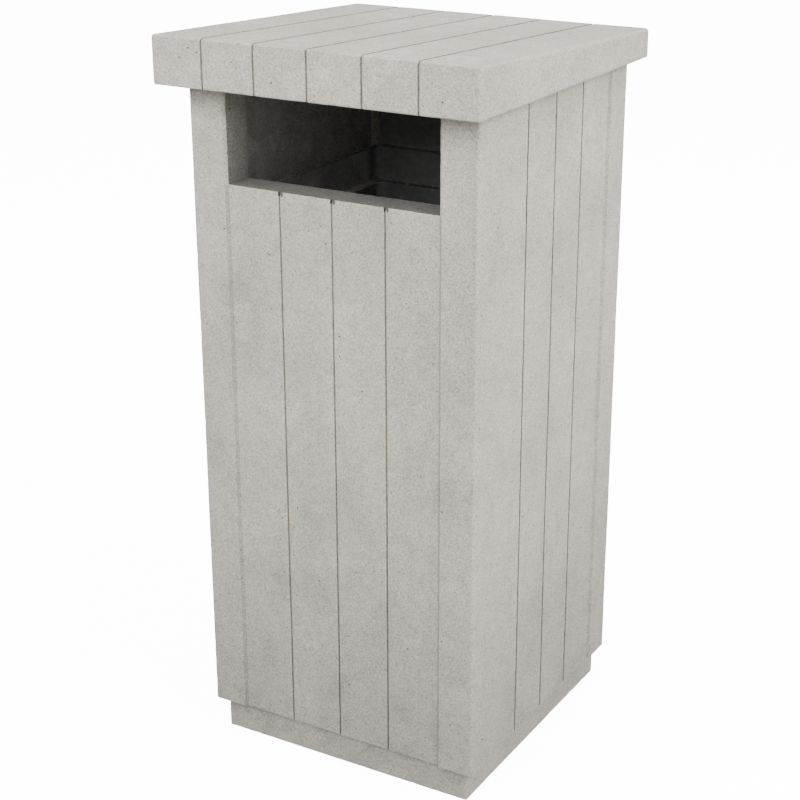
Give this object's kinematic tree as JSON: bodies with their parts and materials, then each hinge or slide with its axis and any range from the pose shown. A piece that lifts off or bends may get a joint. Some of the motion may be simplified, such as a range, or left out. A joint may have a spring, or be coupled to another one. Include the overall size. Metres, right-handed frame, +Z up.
{
  "type": "litter bin",
  "caption": "Square concrete litter bin with plank-patterned faces, an overhanging sloped lid slab, a front waste slot, a rear service door and a lift-out steel liner.",
  "frame": {"origin": "on the ground, at the middle of the footprint of the concrete body and of the four ground-anchor holes", "axes": "+Z up, the waste slot faces -Y, the service door is at +Y, +X is to the right for a person facing the slot"},
  "size_m": [0.553, 0.5745, 1.1968],
  "materials": {
    "concrete": "matte",
    "galvanised_steel": "satin",
    "stainless_steel": "satin",
    "zinc_fasteners": "satin",
    "door_paint": "matte",
    "rubber": "matte",
    "nylon": "matte"
  },
  "bodies": {
    "bin": {"body_shell": "concrete", "lid_slab": "concrete", "lid_bearing_pads": "rubber", "lid_brackets": "galvanised_steel", "bracket_washers": "zinc_fasteners", "bracket_wall_bolts": "zinc_fasteners", "bracket_lid_bolts": "zinc_fasteners", "bracket_sockets": "zinc_fasteners", "lid_sockets": "zinc_fasteners", "hinge_fixed_leaves": "stainless_steel", "hinge_pins": "stainless_steel", "hinge_wall_bolts": "zinc_fasteners", "hinge_sockets": "zinc_fasteners", "door_stop_angles": "galvanised_steel", "door_buffers": "rubber", "lock_keeper": "galvanised_steel", "stop_bolts": "zinc_fasteners", "stop_sockets": "zinc_fasteners", "liner_runners": "galvanised_steel", "runner_screws": "zinc_fasteners", "runner_plugs": "nylon"},
    "door": {"door_outer_skin": "door_paint", "door_inner_skin": "galvanised_steel", "door_stiffeners": "galvanised_steel", "door_skin_rivets": "zinc_fasteners", "hinge_door_leaves": "stainless_steel", "hinge_door_rivets": "zinc_fasteners", "lock_case": "stainless_steel", "lock_case_nut": "zinc_fasteners"},
    "lock": {"lock_spindle": "stainless_steel", "lock_cam": "zinc_fasteners", "lock_cam_nut": "zinc_fasteners"},
    "liner": {"liner_body": "galvanised_steel", "liner_collar": "galvanised_steel", "collar_rivets": "zinc_fasteners", "bail_pivots": "zinc_fasteners"},
    "bail": {"liner_bail": "galvanised_steel"}
  },
  "joints": [
    {"name": "door_hinge", "type": "hinge", "parent": "bin", "child": "door", "pos_m": [0.1915, 0.259, 0.612], "axis": [0, 0, -1], "range_deg": [0, 170]},
    {"name": "lock_turn", "type": "hinge", "parent": "door", "child": "lock", "pos_m": [-0.15, 0.2, 0.64], "axis": [0, 1, 0], "range_deg": [0, 90]},
    {"name": "liner_lift", "type": "slide", "parent": "bin", "child": "liner", "axis": [0, 0, 1], "range_m": [0, 0.03]},
    {"name": "bail_swing", "type": "hinge", "parent": "liner", "child": "bail", "pos_m": [0, 0, 0.895], "axis": [-1, 0, 0], "range_deg": [0, 180]}
  ]
}
